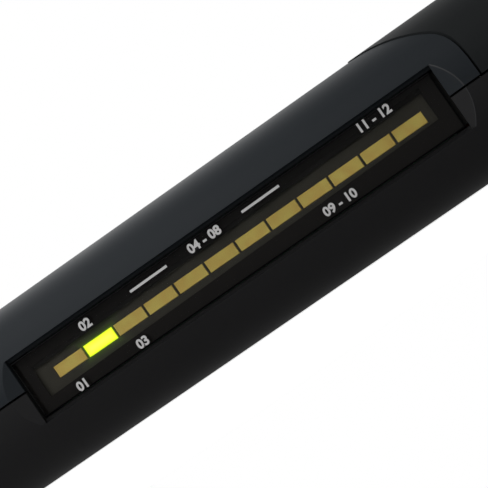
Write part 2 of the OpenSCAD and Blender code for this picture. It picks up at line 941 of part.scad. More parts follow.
// Cradle of the two cells.
module battery_tray() {
    color("#26282b")
    place()
    difference() {
        intersection() {
            form(wall + tray_gap, front_wall);
            block([tray_front, -body_r, -body_r], [tray_rear, body_r, -1]);
        }
        for (s = [-1, 1])
            translate([0, s * cell_y, 0]) {
                bar_x(tray_front + tray_wall - fit, tray_rear - tray_wall + fit, cell_d / 2 + 0.15);
                translate([0, 0, lead_z])
                    bar_x(tray_front - 1, tray_front + 3, lead_r + 0.2);
            }
        block([tray_front + 2, 4 - inner_r, -body_r], [tray_rear - 4.5, inner_r - 4, -cell_d / 2 - 1.5]);
    }
}

// Cell on the window side, its nub toward the tail.
module cell_right() {
    color("#23262b")
    place()
    translate([0, -cell_y, 0]) {
        bar_x(front_cell, tail_cell - 0.8, cell_d / 2);
        bar_x(tail_cell - 1, tail_cell, nub_r);
    }
}

// Cell on the far side, its nub toward the nose.
module cell_left() {
    color("#23262b")
    place()
    translate([0, cell_y, 0]) {
        bar_x(front_cell + 0.8, tail_cell, cell_d / 2);
        bar_x(front_cell, front_cell + 1, nub_r);
    }
}

// Conical springs at the flat ends of the cells.
module contact_springs() {
    color("#c7c9cc")
    place() {
        translate([0, -cell_y, 0])
            coil(front_cell - contact_gap + contact_wire / 2 + 0.03, front_cell - contact_wire / 2 - 0.03, contact_w, 0.6 * contact_w,
                2, contact_wire);
        translate([0, cell_y, 0])
            coil(tail_cell + contact_wire / 2 + 0.03, tail_cell + contact_gap - contact_wire / 2 - 0.03, 0.6 * contact_w, contact_w,
                2, contact_wire);
    }
}
echo(contact_spring_gap = norm([(contact_gap - contact_wire - 0.06) / 2, 0.2 * contact_w]) - contact_wire);

// Contact plates at both ends of the cells.
module contact_plates() {
    color("#c7c9cc")
    place() {
        for (s = [-1, 1])
            translate([0, s * cell_y, 0]) {
                block([front_cell - contact_gap - contact_t, -contact_w, -contact_h], [front_cell - contact_gap, contact_w, contact_h]);
                block([tail_cell + contact_gap, -contact_w, -contact_h], [tail_cell + contact_gap + contact_t, contact_w, contact_h]);
            }
        block([tail_cell + contact_gap, contact_w - cell_y - 1, -0.5], [tail_cell + contact_gap + contact_t, cell_y - contact_w + 1, 2]);
        translate([0, cell_y, 0])
            bar_x(front_cell - contact_gap - 0.1, front_cell - fit, 0.85 * nub_r);
        translate([0, -cell_y, 0])
            bar_x(tail_cell + fit, tail_cell + contact_gap + 0.1, 0.85 * nub_r);
    }
}

// Wires from the front contacts to the main board.
module battery_leads() {
    color("#a33b32")
    place()
    for (s = [-1, 1]) {
        a = [front_cell - contact_gap - contact_t - fit, s * cell_y, lead_z];
        b = [tray_front - 0.8, s * cell_y, lead_z];
        c = [board_rear - 0.9, s * cell_y, -board_drop + bead_r + fit];
        rod(a, b, lead_r);
        translate(b)
            sphere(r = bead_r);
        rod(b, c, lead_r);
        translate(c)
            sphere(r = bead_r);
    }
}

// Screws that hold the shells together.
module case_screws() {
    color("#9a9da1")
    place()
    for (x = screw_x)
        translate([x, 0, screw_seat - fit])
            difference() {
                union() {
                    translate([0, 0, -screw_head_h])
                        cylinder(h = screw_head_h, r = screw_head_d / 2);
                    translate([0, 0, -screw_head_h / 2])
                        cylinder(h = screw_l + screw_head_h / 2, r = screw_d / 2);
                }
                translate([0, 0, -screw_head_h - 0.1])
                    cross(0.6 * screw_head_d, 0.14 * screw_head_d, 0.6 * screw_head_h);
            }
}

// Screws that hold the main board.
module board_screws() {
    color("#9a9da1")
    place()
    for (x = board_screw_x, s = [-1, 1])
        translate([x, s * board_screw_y, -board_drop + fit])
            difference() {
                union() {
                    cylinder(h = board_head_h, r = board_head_d / 2);
                    translate([0, 0, -board_t - board_screw_l])
                        cylinder(h = board_t + board_screw_l + board_head_h / 2, r = board_screw_d / 2);
                }
                translate([0, 0, 0.5 * board_head_h])
                    cross(0.6 * board_head_d, 0.15 * board_head_d, board_head_h);
            }
}

lower_shell();
upper_shell();
battery_cover();
nose_collar();
nose_cone();
protective_cap();
probe_barrel();
probe_pin();
probe_spring();
probe_socket();
probe_leads();
display_lens();
display_mask();
led_bar();
led_segments();
ready_segment();
display_board();
board_header();
main_board();
controller_chip();
capacitors();
buzzer();
power_button();
switch_body();
switch_stem();
finger_plates();
battery_tray();
cell_right();
cell_left();
contact_springs();
contact_plates();
battery_leads();
case_screws();
board_screws();
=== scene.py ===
import math

import bmesh
import bpy
from mathutils import Matrix, Vector


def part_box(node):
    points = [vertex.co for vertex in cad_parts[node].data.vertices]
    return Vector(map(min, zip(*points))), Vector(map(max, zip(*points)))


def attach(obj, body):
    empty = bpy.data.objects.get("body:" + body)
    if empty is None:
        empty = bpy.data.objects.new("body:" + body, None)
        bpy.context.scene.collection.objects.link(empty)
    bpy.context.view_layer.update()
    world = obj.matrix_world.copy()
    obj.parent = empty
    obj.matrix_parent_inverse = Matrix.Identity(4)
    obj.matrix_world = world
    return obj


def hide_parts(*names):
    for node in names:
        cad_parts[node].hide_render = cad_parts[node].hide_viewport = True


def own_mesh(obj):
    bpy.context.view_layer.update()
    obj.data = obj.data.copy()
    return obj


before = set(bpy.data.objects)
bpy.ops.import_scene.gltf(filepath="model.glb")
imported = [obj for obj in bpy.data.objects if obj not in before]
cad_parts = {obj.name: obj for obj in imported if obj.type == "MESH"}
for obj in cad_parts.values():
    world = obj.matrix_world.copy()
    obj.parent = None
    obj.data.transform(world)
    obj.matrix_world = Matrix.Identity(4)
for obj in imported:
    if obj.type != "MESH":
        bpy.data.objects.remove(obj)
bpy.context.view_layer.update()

# Studio: a pale paper floor under the tester, a soft lamp close above its front on the nose side, and a weak
# lamp behind. The background is white for the camera and in reflections, and the paper keeps the shadow.
# The camera looks at the window from the front, a little from the tail side, and is rolled.
MM = 0.001
mask_low, mask_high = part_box("display_mask")
WINDOW = Vector(((mask_low.x + mask_high.x) / 2, 0, (mask_low.z + mask_high.z) / 2))


def at(x, y, z):
    """A point given in millimetres from the middle of the window, on the parting line."""
    return WINDOW + Vector((x, y, z)) * MM


def add(tree, kind, feeds=None, **settings):
    """A shader node; each of its inputs is fed by another node's output or set to a value."""
    item = tree.nodes.new(kind)
    for key, value in settings.items():
        setattr(item, key, value)
    for key, value in (feeds or {}).items():
        if isinstance(value, bpy.types.NodeSocket):
            tree.links.new(value, item.inputs[key])
        else:
            item.inputs[key].default_value = value
    return item


def seen_directly(tree):
    """1 for the rays of the camera and for those mirrored or let through by a piece, else 0."""
    rays = add(tree, "ShaderNodeLightPath").outputs
    mirrored = add(tree, "ShaderNodeMath", {0: rays["Is Glossy Ray"], 1: rays["Is Transmission Ray"]},
                   operation="MAXIMUM")
    return add(tree, "ShaderNodeMath", {0: rays["Is Camera Ray"], 1: mirrored.outputs[0]},
               operation="MAXIMUM").outputs[0]


scene = bpy.context.scene
scene.view_settings.view_transform = "Standard"

CAMERA_SENSOR, CAMERA_LENS, CAMERA_DISTANCE = 36, 116.8, 210
CAMERA_TURN, CAMERA_RISE, CAMERA_ROLL = math.radians(7.5), math.radians(1.49), math.radians(34.63)
camera_aim = at(1.417, -10.6, -0.37)
camera_data = bpy.data.cameras.new("camera")
camera_data.sensor_width = CAMERA_SENSOR
camera_data.lens = CAMERA_LENS
camera = bpy.data.objects.new("camera", camera_data)
scene.collection.objects.link(camera)
scene.camera = camera
look = Vector((-math.sin(CAMERA_TURN) * math.cos(CAMERA_RISE), math.cos(CAMERA_TURN) * math.cos(CAMERA_RISE),
               math.sin(CAMERA_RISE)))
level = Vector((math.cos(CAMERA_TURN), math.sin(CAMERA_TURN), 0))
upright = level.cross(look)
picture_right = math.cos(CAMERA_ROLL) * level - math.sin(CAMERA_ROLL) * upright
picture_up = math.sin(CAMERA_ROLL) * level + math.cos(CAMERA_ROLL) * upright
camera_axes = Matrix((picture_right, picture_up, -look)).transposed().to_4x4()
camera.matrix_world = Matrix.Translation(camera_aim - CAMERA_DISTANCE * MM * look) @ camera_axes


def lamp(name, x, y, z, size, power):
    """A soft square lamp that points at the window; its place is in millimetres from there."""
    data = bpy.data.lights.new(name, "AREA")
    data.size = size * MM
    data.energy = power
    item = bpy.data.objects.new(name, data)
    item.matrix_world = Matrix.Translation(at(x, y, z)) @ Vector((-x, -y, -z)).to_track_quat(
        "-Z", "Y").to_matrix().to_4x4()
    item.visible_camera = False
    scene.collection.objects.link(item)


lamp("front_lamp", -54, -90, 132, size=180, power=0.48)
lamp("back_lamp", -120, 320, 300, size=300, power=0.5)

FILL_LIGHT, PAPER_GLOW = 0.12, 0.78
world = bpy.data.worlds.new("studio")
scene.world = world
world.use_nodes = True
strength = add(world.node_tree, "ShaderNodeMapRange", {
    "Value": seen_directly(world.node_tree), "To Min": FILL_LIGHT, "To Max": 1.0})
backdrop = world.node_tree.nodes["Background"]
backdrop.inputs["Color"].default_value = (1, 1, 1, 1)
world.node_tree.links.new(strength.outputs["Result"], backdrop.inputs["Strength"])

paper = bpy.data.materials.new("paper")
paper.use_nodes = True
sheet = paper.node_tree.nodes["Principled BSDF"]
sheet.inputs["Base Color"].default_value = (0.5, 0.5, 0.5, 1)
sheet.inputs["Roughness"].default_value = 0.9
sheet.inputs["Specular IOR Level"].default_value = 0.0
sheet.inputs["Emission Color"].default_value = (1, 1, 1, 1)
glow = add(paper.node_tree, "ShaderNodeMath", {0: seen_directly(paper.node_tree), 1: PAPER_GLOW},
           operation="MULTIPLY")
paper.node_tree.links.new(glow.outputs[0], sheet.inputs["Emission Strength"])

FLOOR_HALF, FLOOR_DROP = 1.5, 0.02
floor_mesh = bpy.data.meshes.new("floor")
shape = bmesh.new()
bmesh.ops.create_grid(shape, x_segments=1, y_segments=1, size=FLOOR_HALF)
bmesh.ops.translate(shape, vec=(0, 0, -FLOOR_DROP * MM), verts=shape.verts[:])
shape.to_mesh(floor_mesh)
shape.free()
floor_mesh.materials.append(paper)
floor = bpy.data.objects.new("floor", floor_mesh)
scene.collection.objects.link(floor)

# Lower half of the handle: a black moulded shell with bosses and a lip inside, which lies on its flat.
# It is moulded in ABS with a fine satin grain, and its outer edges are a little rounded.
# The slopes at the window's ends are polished, and the rim of the slope on the tail side has a painted
# highlight: a lighter, glossier black.
BODY_R, NOSE_R = 12.35, 7.2
TAPER_FROM, TAPER_LENGTH = -48.0, 26.0
TAIL_END, TAIL_ROUND = 90.95, 5.0
AXIS = at(0, 0, -0.25)
taper_arc = (TAPER_LENGTH ** 2 + (BODY_R - NOSE_R) ** 2) / (2 * (BODY_R - NOSE_R))


def effect(name, takes, gives):
    """An empty shader node group with its named sockets, and its two end nodes."""
    group = bpy.data.node_groups.new(name, "ShaderNodeTree")
    for label, kind in takes:
        group.interface.new_socket(name=label, in_out="INPUT", socket_type="NodeSocket" + kind)
    for label, kind in gives:
        group.interface.new_socket(name=label, in_out="OUTPUT", socket_type="NodeSocket" + kind)
    return group, group.nodes.new("NodeGroupInput").outputs, group.nodes.new("NodeGroupOutput").inputs


SURFACE = [("Colour", "Color"), ("Roughness", "Float"), ("Height", "Float")]
FLOW_SCALE, FLOW_RUB = 90.0, 0.14
moulded_grain, given, result = effect("moulded_grain", [
    ("Colour", "Color"), ("Roughness", "Float"), ("Mottle", "Float"), ("Grain", "Float")], SURFACE)
on_piece = add(moulded_grain, "ShaderNodeTexCoord").outputs["Object"]
flow = add(moulded_grain, "ShaderNodeTexNoise", {"Vector": on_piece, "Scale": FLOW_SCALE, "Detail": 4.0})
fine_grain = add(moulded_grain, "ShaderNodeTexNoise", {
    "Vector": on_piece, "Scale": given["Grain"], "Detail": 2.0})
uneven = add(moulded_grain, "ShaderNodeMath", {0: flow.outputs["Fac"], 1: 0.5}, operation="SUBTRACT")
streaks = add(moulded_grain, "ShaderNodeMath", {0: uneven.outputs[0], 1: given["Mottle"], 2: 1.0},
              operation="MULTIPLY_ADD")
mottled = add(moulded_grain, "ShaderNodeVectorMath", {0: given["Colour"], "Scale": streaks.outputs[0]},
              operation="SCALE")
rubbed = add(moulded_grain, "ShaderNodeMath", {0: uneven.outputs[0], 1: FLOW_RUB, 2: given["Roughness"]},
             operation="MULTIPLY_ADD")
moulded_grain.links.new(mottled.outputs[0], result["Colour"])
moulded_grain.links.new(rubbed.outputs[0], result["Roughness"])
moulded_grain.links.new(fine_grain.outputs["Fac"], result["Height"])


def finish(name, group, takes, bump, **sockets):
    """A material whose colour, roughness and relief come from a group; other sockets are plain values."""
    material = bpy.data.materials.new(name)
    material.use_nodes = True
    tree = material.node_tree
    shader = tree.nodes["Principled BSDF"]
    for label, value in sockets.items():
        shader.inputs[label.replace("_", " ")].default_value = value
    surface = add(tree, "ShaderNodeGroup", takes, node_tree=group).outputs
    relief = add(tree, "ShaderNodeBump", {
        "Height": surface["Height"], "Strength": 1.0, "Distance": bump * MM})
    tree.links.new(surface["Colour"], shader.inputs["Base Color"])
    tree.links.new(surface["Roughness"], shader.inputs["Roughness"])
    tree.links.new(relief.outputs["Normal"], shader.inputs["Normal"])
    return material


def plastic(name, colour, roughness, specular, mottle=0.18, grain=2600.0, bump=0.004, **sockets):
    """Moulded plastic: a satin grain and a slightly uneven colour."""
    return finish(name, moulded_grain, {
        "Colour": (*colour, 1), "Roughness": roughness, "Mottle": mottle, "Grain": grain}, bump,
        Specular_IOR_Level=specular, **sockets)


def depth(point):
    """How far a point lies under the outer form of the handle, in millimetres."""
    x, y, z = (point - AXIS) / MM
    forward = min(max(0.0, TAPER_FROM - x), TAPER_LENGTH)
    back = min(max(0.0, x - TAIL_END + TAIL_ROUND), TAIL_ROUND)
    radius = BODY_R + math.sqrt(taper_arc ** 2 - forward ** 2) - taper_arc
    radius += math.sqrt(TAIL_ROUND ** 2 - back ** 2) - TAIL_ROUND
    return radius - math.hypot(y, z)


SHARP_FROM = math.radians(14)


def rounded(shape, width, steps, chosen):
    """Rounds the sharp edges of a shape that a rule chooses, and gives the new faces."""
    sharp = [edge for edge in shape.edges
             if edge.is_manifold and edge.calc_face_angle() > SHARP_FROM and chosen(edge)]
    return bmesh.ops.bevel(shape, geom=sharp, offset=width * MM, offset_type="OFFSET", affect="EDGES",
                           segments=steps, profile=0.5, clamp_overlap=True, material=-1)["faces"]


def piece(shape, name, body, slot, *materials, crease=20):
    """A finished piece that rides on a body, smooth but for its creases."""
    mesh = bpy.data.meshes.new(name)
    shape.to_mesh(mesh)
    shape.free()
    for material in materials:
        mesh.materials.append(material)
    mesh.shade_smooth()
    mesh.set_sharp_from_angle(angle=math.radians(crease))
    item = bpy.data.objects.new(name, mesh)
    scene.collection.objects.link(item)
    even = item.modifiers.new("even_shading", "WEIGHTED_NORMAL")
    even.keep_sharp = True
    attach(item, body)
    return item


MERGE_WITHIN, FLAT_WITHIN = 0.002, math.radians(0.3)


def solid_copy(node):
    """A merged copy of a solid, with its flat faces in one piece."""
    shape = bmesh.new()
    shape.from_mesh(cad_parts[node].data)
    bmesh.ops.remove_doubles(shape, verts=shape.verts[:], dist=MERGE_WITHIN * MM)
    bmesh.ops.dissolve_limit(shape, angle_limit=FLAT_WITHIN, verts=shape.verts[:], edges=shape.edges[:])
    return shape


def outer_edge(reach):
    """A rule for the edges that lie within a depth of the handle's outer form."""
    return lambda edge: max(depth(vert.co) for vert in edge.verts) < reach


SLOPE_LEAN, LEAN_WITHIN, FRONT_FACING, SLOPE_REACH = 0.486, 0.03, -0.8, 45
SHELL_ROUND, RIM_DEPTH, EDGE_DEPTH = 0.1, 0.1, 0.35
POLISHED, PAINTED_HIGHLIGHT = 1, 2
# Colour of the painted highlight on the rim of the tail-side slope, lighter than the shell's black.
PAINTED_HIGHLIGHT_BLACK = (0.019, 0.0195, 0.0205)


def on_slope(face):
    """Whether a face is one of the flat slopes at the ends of the window."""
    leans = abs(abs(face.normal.x) - SLOPE_LEAN) < LEAN_WITHIN and face.normal.y < FRONT_FACING
    return leans and abs(face.calc_center_median().x - WINDOW.x) < SLOPE_REACH * MM


def tail_slope_rim(edge):
    """Whether an edge is the outer rim of the slope on the tail side."""
    at_surface = edge.verts[0].co.x > WINDOW.x and outer_edge(RIM_DEPTH)(edge)
    return at_surface and sum(map(on_slope, edge.link_faces)) == 1


def shell_half(node, name, slot, colour, specular):
    """One half of the handle: satin outside, with polished slopes and a painted highlight on one rim."""
    shape = solid_copy(node)
    # Painted highlight: a lighter, glossier black on the rim of the tail-side slope stands in for light
    # caught by that edge.
    for face in rounded(shape, SHELL_ROUND, 2, tail_slope_rim):
        face.material_index = PAINTED_HIGHLIGHT
    rounded(shape, SHELL_ROUND, 2, outer_edge(EDGE_DEPTH))
    for face in shape.faces:
        if on_slope(face):
            face.material_index = POLISHED
    satin = plastic("satin_" + name, colour, 0.48, specular)
    polished = plastic("polished_" + name, colour, 0.4, 0.058)
    painted_highlight = plastic("burnished_" + name, PAINTED_HIGHLIGHT_BLACK, 0.4, 0.09)
    half = piece(shape, name, "handle", slot, satin, polished, painted_highlight)
    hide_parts(node)


shell_half("lower_shell", "lower_half", "shell_lower", (0.0108, 0.0107, 0.0111), 0.029)

# Main board: a green glass-fibre board on four posts, with etched tracks under its solder mask.
# It carries the controller, three capacitors, the sounder, the press switch and the pin strip.
# Four zinc-plated screws hold it.
etched_board, given, result = effect("etched_board", [
    ("Colour", "Color"), ("Track", "Color"), ("Roughness", "Float"), ("Place", "Vector")], SURFACE)
tracks = add(etched_board, "ShaderNodeTexBrick", {
    "Vector": given["Place"], "Scale": 420.0, "Mortar Size": 0.09, "Mortar Smooth": 0.1,
    "Brick Width": 1.7, "Row Height": 0.45}, offset=0.37)
patches = add(etched_board, "ShaderNodeTexVoronoi", {"Vector": given["Place"], "Scale": 140.0})
kept = add(etched_board, "ShaderNodeMath", {0: patches.outputs["Distance"], 1: 0.42}, operation="LESS_THAN")
copper = add(etched_board, "ShaderNodeMath", {0: tracks.outputs["Fac"], 1: kept.outputs[0]},
             operation="MULTIPLY")
coated = add(etched_board, "ShaderNodeMix", {
    "Factor": copper.outputs[0], "A": given["Colour"], "B": given["Track"]}, data_type="RGBA")
smoothed = add(etched_board, "ShaderNodeMath", {0: copper.outputs[0], 1: -0.1, 2: given["Roughness"]},
               operation="MULTIPLY_ADD")
etched_board.links.new(coated.outputs["Result"], result["Colour"])
etched_board.links.new(smoothed.outputs[0], result["Roughness"])
etched_board.links.new(copper.outputs[0], result["Height"])


def circuit_board(name, turned_up):
    """Solder mask over tracks, laid in the plane of the board."""
    material = finish(name, etched_board, {
        "Colour": (0.012, 0.09, 0.035, 1), "Track": (0.03, 0.17, 0.06, 1), "Roughness": 0.34}, 0.02,
        Specular_IOR_Level=0.5)
    tree = material.node_tree
    laid = add(tree, "ShaderNodeMapping", {
        "Vector": add(tree, "ShaderNodeTexCoord").outputs["Object"], "Rotation": (turned_up, 0, 0)})
    tree.links.new(laid.outputs["Vector"], tree.nodes["Group"].inputs["Place"])
    return material


worked_metal, given, result = effect("worked_metal", [
    ("Colour", "Color"), ("Roughness", "Float"), ("Stretch", "Vector")], SURFACE)
drawn = add(worked_metal, "ShaderNodeVectorMath", {
    0: add(worked_metal, "ShaderNodeTexCoord").outputs["Object"], 1: given["Stretch"]}, operation="MULTIPLY")
lines = add(worked_metal, "ShaderNodeTexNoise", {"Vector": drawn.outputs[0], "Scale": 1.0, "Detail": 3.0})
line_level = add(worked_metal, "ShaderNodeMath", {0: lines.outputs["Fac"], 1: 0.5}, operation="SUBTRACT")
shade = add(worked_metal, "ShaderNodeMath", {0: line_level.outputs[0], 1: 0.35, 2: 1.0},
            operation="MULTIPLY_ADD")
shaded = add(worked_metal, "ShaderNodeVectorMath", {0: given["Colour"], "Scale": shade.outputs[0]},
             operation="SCALE")
scratched = add(worked_metal, "ShaderNodeMath", {0: line_level.outputs[0], 1: 0.3, 2: given["Roughness"]},
                operation="MULTIPLY_ADD")
worked_metal.links.new(shaded.outputs[0], result["Colour"])
worked_metal.links.new(scratched.outputs[0], result["Roughness"])
worked_metal.links.new(lines.outputs["Fac"], result["Height"])

RINGS, ALONG, ALL_WAYS = (5200, 0, 0), (90, 5200, 5200), (1400, 1400, 1400)


def metal(name, colour, roughness, stretch, bump=0.003):
    """Worked metal: fine lines left by turning, brushing or plating."""
    return finish(name, worked_metal, {
        "Colour": (*colour, 1), "Roughness": roughness, "Stretch": stretch}, bump, Metallic=1.0)


def dress(node, material):
    """Gives a solid that stays in the scene its finish."""
    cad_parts[node].data.materials.clear()
    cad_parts[node].data.materials.append(material)


dress("main_board", circuit_board("main_board_mask", 0))
dress("controller_chip", plastic("chip_epoxy", (0.018, 0.018, 0.02), 0.6, 0.4, grain=6000.0))
dress("capacitors", plastic("capacitor_sleeve", (0.02, 0.035, 0.09), 0.35, 0.5, mottle=0.4))
dress("buzzer", plastic("sounder_case", (0.02, 0.02, 0.021), 0.5, 0.4))
dress("board_header", plastic("pin_strip", (0.025, 0.025, 0.025), 0.45, 0.4))
dress("switch_body", plastic("switch_case", (0.03, 0.031, 0.034), 0.4, 0.45))
dress("board_screws", metal("zinc_plate", (0.62, 0.63, 0.66), 0.3, ALL_WAYS))

# Light display: an upright board with a dark carrier in front of it, and twelve bars in its pockets.
# The bars are cast in milky yellow resin and lit from behind.
# The second one is on, and a green glow round it is painted on the carrier as emission.
BARS, BAR_ROUND = 12, 0.04
on_low, on_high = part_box("ready_segment")
row_low, row_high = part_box("led_segments")
bar_length = on_high.x - on_low.x
bar_pitch = (row_high.x - row_low.x - bar_length) / (BARS - 1)
lit_index = round((on_low.x - row_low.x) / bar_pitch)


def bar(shape, index):
    """One square-edged bar, at its place in the row."""
    centre = Vector((row_low.x + bar_length / 2 + index * bar_pitch, (on_low.y + on_high.y) / 2,
                     (on_low.z + on_high.z) / 2))
    block = bmesh.ops.create_cube(shape, size=1.0)["verts"]
    bmesh.ops.scale(shape, vec=on_high - on_low, verts=block)
    bmesh.ops.translate(shape, vec=centre, verts=block)


def front_edge(edge):
    """Whether an edge lies in the front of the bars."""
    return max(vert.co.y for vert in edge.verts) < on_low.y + 0.01 * MM


dress("display_board", circuit_board("display_board_mask", math.pi / 2))
milky_resin = plastic("yellow_resin", (0.63, 0.5, 0.125), 0.5, 0.2, mottle=0.3, grain=1500.0)
resin_tree = milky_resin.node_tree
clouds = add(resin_tree, "ShaderNodeTexNoise", {
    "Vector": add(resin_tree, "ShaderNodeTexCoord").outputs["Object"], "Scale": 420.0, "Detail": 2.0})
amber = add(resin_tree, "ShaderNodeMapRange", {
    "Value": clouds.outputs["Fac"], "From Min": 0.4, "From Max": 0.7, "To Max": 0.6})
clouded = add(resin_tree, "ShaderNodeMix", {
    "Factor": amber.outputs["Result"], "A": resin_tree.nodes["Group"].outputs["Colour"],
    "B": (0.58, 0.36, 0.09, 1)}, data_type="RGBA")
resin_tree.links.new(clouded.outputs["Result"], resin_tree.nodes["Principled BSDF"].inputs["Base Color"])
shape = bmesh.new()
for index in range(BARS):
    if index != lit_index:
        bar(shape, index)
rounded(shape, BAR_ROUND, 2, front_edge)
dark_bars = piece(shape, "light_bars", "handle", "bars_off", milky_resin)
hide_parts("led_segments")

off_lit_bar, given, result = effect("off_lit_bar", [("Nearest", "Float"), ("Farthest", "Float")], [
    ("Reach", "Float")])
from_middle = add(off_lit_bar, "ShaderNodeMapping", {
    "Vector": add(off_lit_bar, "ShaderNodeTexCoord").outputs["Object"], "Location": -(on_low + on_high) / 2})
sides = add(off_lit_bar, "ShaderNodeVectorMath", {0: from_middle.outputs["Vector"]}, operation="ABSOLUTE")
past_edge = add(off_lit_bar, "ShaderNodeVectorMath", {0: sides.outputs[0], 1: (on_high - on_low) / 2},
                operation="SUBTRACT")
split = add(off_lit_bar, "ShaderNodeSeparateXYZ", {0: past_edge.outputs[0]})
distance = add(off_lit_bar, "ShaderNodeMath", {0: split.outputs["X"], 1: split.outputs["Z"]},
               operation="MAXIMUM")
reach = add(off_lit_bar, "ShaderNodeMapRange", {
    "Value": distance.outputs[0], "From Min": given["Nearest"], "From Max": given["Farthest"]})
off_lit_bar.links.new(reach.outputs["Result"], result["Reach"])


def bar_light_and_painted_glow(material, nearest, farthest, stops):
    """Emission by distance from the lit bar, colours from the nearest to the farthest place, in millimetres:
    the bar's own light, and a painted glow on pieces round it.
    """
    tree = material.node_tree
    spread = add(tree, "ShaderNodeGroup", {"Nearest": nearest * MM, "Farthest": farthest * MM},
                 node_tree=off_lit_bar)
    ramp = add(tree, "ShaderNodeValToRGB", {"Fac": spread.outputs["Reach"]})
    while len(ramp.color_ramp.elements) < len(stops):
        ramp.color_ramp.elements.new(0.5)
    for stop, (position, colour) in zip(ramp.color_ramp.elements, stops):
        stop.position = position
        stop.color = (*colour, 1)
    tree.links.new(ramp.outputs["Color"], tree.nodes["Principled BSDF"].inputs["Emission Color"])


lit_resin = plastic("lit_resin", (0.5, 0.55, 0.05), 0.5, 0.2, Emission_Strength=1.25)
bar_light_and_painted_glow(lit_resin, -0.8, 0.0, [
    (0.0, (1.0, 1.0, 0.1)), (0.6, (0.95, 1.0, 0.04)), (1.0, (0.7, 1.0, 0.0))])
shape = bmesh.new()
bar(shape, lit_index)
rounded(shape, BAR_ROUND, 2, front_edge)
lit_bar = piece(shape, "lit_bar", "handle", "bar_on", lit_resin)
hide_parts("ready_segment")

# Painted glow: the carrier emits green light near the lit bar, standing in for the bar's light spread round
# it.
carrier_resin = plastic("carrier_resin", (0.0368, 0.035, 0.0278), 0.55, 0.1, Emission_Strength=1.0)
bar_light_and_painted_glow(carrier_resin, 0.0, 2.4, [
    (0.0, (0.1, 0.2, 0.0)), (0.1, (0.02, 0.045, 0.002)), (0.35, (0.005, 0.01, 0.002)),
    (1.0, (0.0, 0.0, 0.0))])
dress("led_bar", carrier_resin)

# Window: a black mask film with a long slot lies over the bars, and a lens of smoked acrylic in front of it.
# The lens is clear in front, backed with black on its rear face round the slot, and matt on its sawn edges;
# its two end walls are a lighter grey, painted light against their shade.
# Plain numbers for the bars, and two lines beside the middle one, are printed on its face in white.
SLOT_RISE, SLOT_REACH, MASK_END = 0.2, 0.38, 2
shape = solid_copy("display_mask")
slot_rim = [vert for vert in shape.verts
            if abs(vert.co.x - WINDOW.x) < mask_high.x - WINDOW.x - MASK_END * MM]
slot_top = [vert for vert in slot_rim if vert.co.z > WINDOW.z]
slot_nose_end = [vert for vert in slot_rim if vert.co.x < WINDOW.x]
bmesh.ops.translate(shape, vec=(0, 0, SLOT_RISE * MM), verts=slot_top)
bmesh.ops.translate(shape, vec=(-SLOT_REACH * MM, 0, 0), verts=slot_nose_end)
mask_film = plastic("mask_film", (0.014, 0.0135, 0.013), 0.7, 0.05, mottle=0.4)
window_mask = piece(shape, "window_mask", "handle", "mask", mask_film)
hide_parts("display_mask")

CLEAR_FROM, CLEAR_TO = -32.35, 31.9
CLEAR_TOP, CLEAR_FOOT, CLEAR_TILT = 2.9, -1.93, math.radians(0.84)
LENS_ROUND, END_FACING, FLAT_FACING = 0.06, 0.9, 0.97
LENS_WAVES = {"mottle": 0.2, "grain": 300.0, "bump": 0.002}
SMOKE, BACKED, SAWN, SAWN_END_PAINTED_LIGHT = range(4)
smoke = plastic("smoked_acrylic", (0.002, 0.002, 0.002), 0.08, 0.0, Alpha=0.15, **LENS_WAVES)
# Painted reflection: the black backing is tinted a little warm, standing in for a warm reflection across the
# lens.
backed = plastic("backed_acrylic", (0.0072, 0.0065, 0.006), 0.08, 0.06, **LENS_WAVES)
sawn = plastic("sawn_acrylic", (0.004, 0.004, 0.0042), 0.6, 0.03)
# Painted light: the sawn end walls are a lighter grey than the other sawn edges, lifting the shade inside
# the lens's ends.
sawn_end_painted_light = plastic("sawn_wall_painted_light", (0.028, 0.028, 0.028), 0.6, 0.03)
shape = solid_copy("display_lens")
rounded(shape, LENS_ROUND, 2, lambda edge: True)
along_handle = (1, 0, 0)
across_slot = Vector((-math.sin(CLEAR_TILT), 0, math.cos(CLEAR_TILT)))
for cut, square_to in ((at(CLEAR_FROM, 0, 0), along_handle), (at(CLEAR_TO, 0, 0), along_handle),
                       (at(0, 0, CLEAR_TOP), across_slot), (at(0, 0, CLEAR_FOOT), across_slot)):
    bmesh.ops.bisect_plane(shape, geom=shape.verts[:] + shape.edges[:] + shape.faces[:], dist=0.001 * MM,
                           plane_co=cut, plane_no=square_to)
for face in shape.faces:
    spot = (face.calc_center_median() - at(0, 0, 0)) / MM
    over_slot = CLEAR_FROM < spot.x < CLEAR_TO and CLEAR_FOOT < spot.dot(across_slot) < CLEAR_TOP
    if abs(face.normal.x) > END_FACING:
        face.material_index = SAWN_END_PAINTED_LIGHT
    elif abs(face.normal.y) <= FLAT_FACING:
        face.material_index = SAWN
    elif over_slot or face.normal.y < 0:
        face.material_index = SMOKE
    else:
        face.material_index = BACKED
smoked_lens = piece(shape, "smoked_lens", "handle", "lens", smoke, backed, sawn, sawn_end_painted_light)
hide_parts("display_lens")

